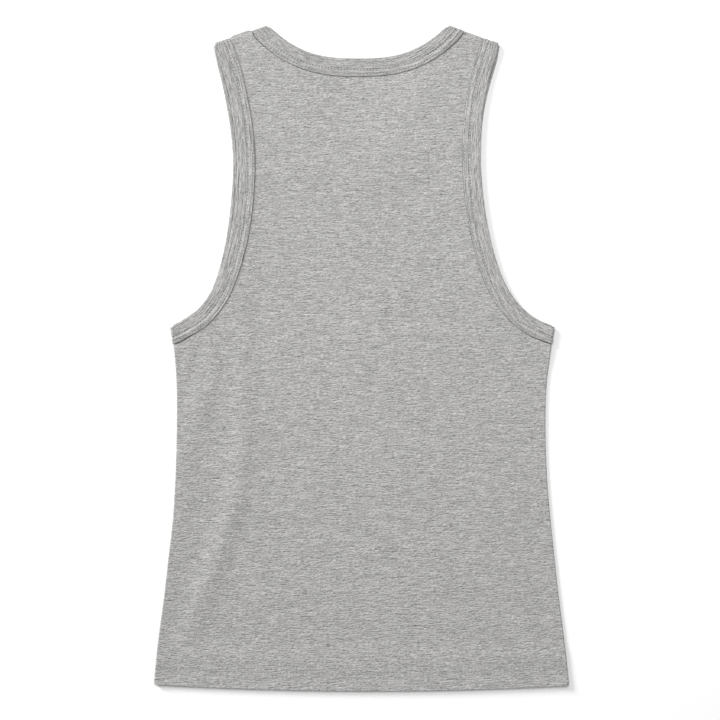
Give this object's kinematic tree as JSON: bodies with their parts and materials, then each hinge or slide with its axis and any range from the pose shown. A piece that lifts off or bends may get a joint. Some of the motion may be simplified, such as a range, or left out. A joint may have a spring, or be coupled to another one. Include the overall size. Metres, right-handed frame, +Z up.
{
  "type": "tank top",
  "caption": "Sleeveless jersey tank top laid flat with its back up, with a bound neck, bound armholes and a turned-up hem.",
  "frame": {"origin": "centre of the bounding box, on the surface that the garment lies on", "axes": "+Y from the hem to the shoulders, +Z up from the surface, out of the garment's back, +X towards the wearer's right"},
  "size_m": [0.4358, 0.7004, 0.0049],
  "materials": {
    "jersey": "matt marl single jersey",
    "binding": "matt marl single jersey, folded"
  },
  "bodies": {
    "root": {"back_panel": "jersey", "front_panel": "jersey", "neck_binding": "binding", "armhole_binding_left": "binding", "armhole_binding_right": "binding"}
  },
  "joints": []
}
